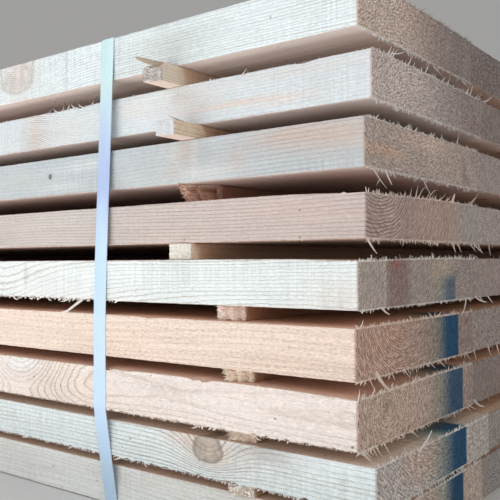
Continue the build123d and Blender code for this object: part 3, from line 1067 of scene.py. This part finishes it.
# Each kind has the colour of its sides and of its end, how far its broken end is split back, how
# far its lower corner is torn away, how rough the break is, how many fibres stand out of it and
# how long they are. texture is as for the boards, and sunk is how far the end's top is peeled
# down. slivers are the long ones that curl off it: points from the left edge, from the front and
# up from the top. wide is their width, flat how thin they are against it, hold how long they keep
# it, and peeled their colour.
STICKER_KINDS = (
    dict(face=(0.66, 0.50, 0.38), end=(0.84, 0.76, 0.68), split=4, torn=1, rough=1.2, fibres=16, long=3.0),
    dict(face=(0.70, 0.56, 0.45), end=(0.94, 0.80, 0.70), split=6, torn=2, rough=2.2, fibres=110, long=6.0,
         texture=(-0.4, 0.2, 0)),
    dict(face=(0.70, 0.54, 0.42), end=(1, 0.85, 0.74), split=8, torn=2, rough=2.2, fibres=110, long=6.0,
         slivers=(((4, 12, -1.5), (2, 5, -1), (-1, 2, -2), (-3, 0.5, -4.5)),
                  ((7, 12, -1), (5, 4, -1), (3.5, 0.4, -2.5), (1, 0.3, -5)),
                  ((9, 12, -1.2), (8.5, 4, -1.2), (9.5, 0.4, -3), (10.5, 0.2, -5.5))), wide=1.5, flat=0.6,
         texture=(-0.5, 0.2, 0)),
    dict(face=(0.66, 0.42, 0.30), end=(0.88, 0.74, 0.66), split=9, torn=2, rough=1.4, fibres=50, long=3.0,
         texture=(-0.2, 0.2, 0)),
    dict(face=(0.90, 0.74, 0.60), end=(0.86, 0.82, 0.74), split=2, torn=0, rough=0.5, fibres=6, long=1.5,
         texture=(-0.55, 0.2, 0)),
    dict(face=(0.52, 0.34, 0.26), end=(0.60, 0.40, 0.32), split=34, torn=12, rough=4.4, fibres=90, long=3.0,
         texture=(1.2, 0.2, 0.2)),
    dict(face=(0.74, 0.60, 0.46), end=(0.72, 0.74, 0.76), split=3, torn=0, rough=0.4, fibres=3, long=1.2,
         texture=(-0.9, 0.1, 0), wide=1.3, flat=0.7, peeled=(0.44, 0.33, 0.25),
         slivers=(((17.6, 16, -0.5), (17.2, 9, 0.2), (15.8, 3.4, 1.6), (13.8, 0.4, 3)),)),
    dict(face=(0.78, 0.68, 0.56), end=(0.56, 0.53, 0.50), split=4, torn=0, rough=1.4, fibres=14, long=2.0,
         texture=(-0.1, 0.3, 0), wide=5.2, flat=0.3, sunk=6.0, hold=3.5, peeled=(0.47, 0.37, 0.28),
         slivers=(((17, 27, -2.4), (15.5, 14, -2.4), (11, 3, -1.8), (6, -1, 0),
                   (-0.5, -4.4, 2.6), (-2.8, -5.4, 3.9)),)),
)
STICKER_TEXTURE = (0.7, 0.2, 0.3)

# How far apart the columns of stickers stand, in metres, and where the stickers' seeds start
COLUMN_GAP = 0.9
STICKER_SEED = 7000

# The broken edge, as in the CAD model: shares of the width, and shares of the split
TEETH_ACROSS = (0.0, 0.25, 0.34, 0.58, 0.72, 1.0)
TEETH_DEEP = (0.0, 0.10, 0.48, 0.36, 1.0, 0.82)


def break_depth(across, rise, kind):
    """How far back the break lies at shares of the width and of the height, in millimetres."""
    split = np.interp(across, TEETH_ACROSS, TEETH_DEEP) * kind["split"]
    return split + kind["torn"] * (1 - rise) * (1 - across)


def break_reach(kind):
    return (kind["split"] + kind["torn"] + 8) * MM


def break_end(form, low, high, kind, seed):
    reach = break_reach(kind)
    for vert in form.verts:
        back = vert.co.y - low.y
        if back < reach:
            rise = (vert.co.z - low.z) / (high.z - low.z)
            across = (vert.co.x - low.x) / (high.x - low.x)
            if kind["split"] > 20:
                across += 0.3 * ripple(seed, vert.co.z * 170, vert.co.y * 30)
            across = min(max(across, 0.0), 1.0)
            rag = abs(ripple(vert.co.x * 260, vert.co.z * 420, seed)) * kind["rough"] * 2.2
            share = 1 - back / reach
            vert.co.z -= kind.get("sunk", 0.0) * rise * (0.6 + 0.4 * across) * share * MM
            vert.co.y += (break_depth(across, rise, kind) + rag) * share * MM


def break_fibres(low, high, kind, draw):
    """The fibres that stand out of a broken end. Under the boards they keep to the gap."""
    form = bmesh.new()
    for _ in range(kind["fibres"]):
        across, rise = draw.random(), draw.random()
        deep = (break_depth(across, rise, kind) + 2) * MM
        root = Vector((low.x + across * (high.x - low.x), low.y + deep, low.z + rise * (high.z - low.z)))
        lean = Vector((draw.uniform(-0.5, 0.3), -1.0, draw.uniform(-0.35, 0.35))).normalized()
        tip = root + lean * (2 + draw.triangular(0.4, kind["long"], 0.8)) * MM
        fibre(form, root, tip, draw.uniform(0.5, 1.3) * MM)
    for vert in form.verts:
        if vert.co.y > low.y + 1 * MM:
            vert.co.z = min(max(vert.co.z, low.z), high.z)
    return form


def curled_slivers(low, high, kind):
    form = bmesh.new()
    for line in kind["slivers"]:
        points = [(low.x + x * MM, low.y + y * MM, high.z + z * MM) for x, y, z in line]
        splinter(form, points, kind["wide"] * MM, flat=kind["flat"], hold=kind.get("hold", 1.5))
    return form


def build_stickers(gap):
    node = f"stickers_gap_{gap}"
    parts = []
    boxes = solid_boxes(node)
    first_x = max((low.x + high.x) / 2 for low, high in boxes)
    shaded_from = min(low.y for low, high in solid_boxes(f"boards_layer_{gap + 1}")) / MM + 3
    for low, high in boxes:
        column = round((first_x - (low.x + high.x) / 2) / COLUMN_GAP)
        kind = STICKER_KINDS[(gap - 1 + 3 * column) % len(STICKER_KINDS)]
        draw = random.Random(STICKER_SEED + 10 * gap + column)
        form = box_form(low, high)
        break_corners(form, 0.6 * MM)
        reach = low.y + break_reach(kind)

        def tip(face):
            return max(vert.co.y for vert in face.verts) < reach
        cut_across(form, 1, steps(low.y + 2 * MM, reach, 2 * MM))
        cut_across(form, 1, steps(reach, high.y - 2 * MM, LONG_CUT))
        cut_across(form, 1, [low.y + 1 * MM, *((shaded_from + deep) * MM for deep in (0, 4, 10))])
        cut_across(form, 0, steps(low.x + 1 * MM, high.x - 1 * MM, 1.6 * MM), tip)
        cut_across(form, 2, steps(low.z + 1 * MM, high.z - 1 * MM, 1.8 * MM), tip)
        roughen(form, low, high, 0.6 * MM, draw.uniform(0, NOISE_REACH))
        break_end(form, low, high, kind, draw.uniform(0, NOISE_REACH))
        body = mesh_object(form, f"strip_{gap}_{column}", WOOD)
        wood_attributes(body.data, dict(
            kind, kind=kind, low=low, high=high, offset=draw.uniform(0, 4000), shaded_from=shaded_from,
            pith=(draw.uniform(low.x, high.x) / MM, low.z / MM - draw.uniform(10, 60)),
            ring=draw.uniform(1.6, 3.0), lines=0.4, texture=kind.get("texture", STICKER_TEXTURE)))
        end_colour = [min(1.0, value * 1.12) for value in kind["end"]]
        loose = break_fibres(low, high, kind, draw)
        parts += [body, fibre_object(loose, f"strip_fibres_{gap}_{column}", end_colour)]
        if kind.get("slivers"):
            name = f"strip_slivers_{gap}_{column}"
            peeled = kind.get("peeled", kind["end"])
            parts.append(fibre_object(curled_slivers(low, high, kind), name, peeled))
    piece = joined(parts, f"stickers_{gap}")
    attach(piece, "root")
    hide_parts(node)


# Straps

def build_strap(node):
    form = bmesh.new()
    form.from_mesh(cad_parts[node].data)
    bmesh.ops.remove_doubles(form, verts=form.verts, dist=WELD)
    bmesh.ops.dissolve_limit(form, angle_limit=0.01, verts=form.verts, edges=form.edges)
    rims = [edge for edge in form.edges if len(edge.link_faces) == 2
            and abs(edge.calc_face_angle(0.0) - math.pi / 2) < 0.3
            and abs(edge.verts[0].co.x - edge.verts[1].co.x) < 1e-5]
    break_corners(form, 0.2 * MM, rims)
    piece = mesh_object(form, node.replace("strap_", "band_"), PLASTIC)
    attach(piece, "root")
    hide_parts(node)


for layer_number in range(1, LAYERS + 1):
    build_layer(layer_number)
for gap_number in range(1, GAPS + 1):
    build_stickers(gap_number)
for strap_node in ("strap_near", "strap_middle", "strap_far"):
    build_strap(strap_node)


# Floor and light

def plain_finish(name, colour):
    f = Finish(name)
    mottle = f.grained(f.object_place(), 1.5, 1.5, 3.0)
    dark = tuple(value * 0.96 for value in colour)
    f.set(Base_Color=f.mix(mottle, dark, colour), Roughness=0.85)
    return f.material


def build_floor():
    form = bmesh.new()
    bmesh.ops.create_circle(form, cap_ends=True, segments=96, radius=40.0)
    floor = mesh_object(form, "floor", plain_finish("pale_floor", (0.74, 0.73, 0.71)))
    if floor.data.polygons[0].normal.z < 0:
        floor.data.flip_normals()


def area_light(name, place, target, size, power, colour):
    data = bpy.data.lights.new(name, "AREA")
    data.shape = "RECTANGLE"
    data.size, data.size_y = size
    data.energy = power
    data.color = colour
    light = bpy.data.objects.new(name, data)
    bpy.context.scene.collection.objects.link(light)
    light.location = place
    light.rotation_mode = "QUATERNION"
    light.rotation_quaternion = (Vector(target) - Vector(place)).to_track_quat("-Z", "Y")
    light.visible_camera = False


build_floor()
area_light("soft_key", (0.8, -3.7, 3.0), (1.4, -0.5, 0.2), (4.5, 3.0), 70.0, (0.79, 0.93, 1.04))
area_light("corner_fill", (2.75, -0.85, 0.45), (1.95, -0.45, 0.25), (0.4, 0.4), 2.0, (1.0, 0.95, 0.91))
area_light("near_glow", (0.7, -0.81, 0.02), (0.7, -0.81, 1.0), (2.5, 0.29), 2.9, (1.0, 0.96, 0.93))
area_light("far_glow", (0.95, -1.65, 0.02), (0.95, -1.65, 1.0), (3.4, 1.1), 22.5, (1.0, 0.95, 0.93))
area_light("level_front", (1.0, -3.4, 0.4), (1.0, -0.56, 0.25), (4.0, 0.5), 7.5, (1.0, 0.93, 0.88))
world = bpy.data.worlds.new("pale_room")
world.use_nodes = True
room_light = world.node_tree.nodes["Background"].inputs
room_light["Color"].default_value = (0.82, 0.81, 0.80, 1.0)
room_light["Strength"].default_value = 0.43
bpy.context.scene.world = world
bpy.context.scene.view_settings.view_transform = "Standard"
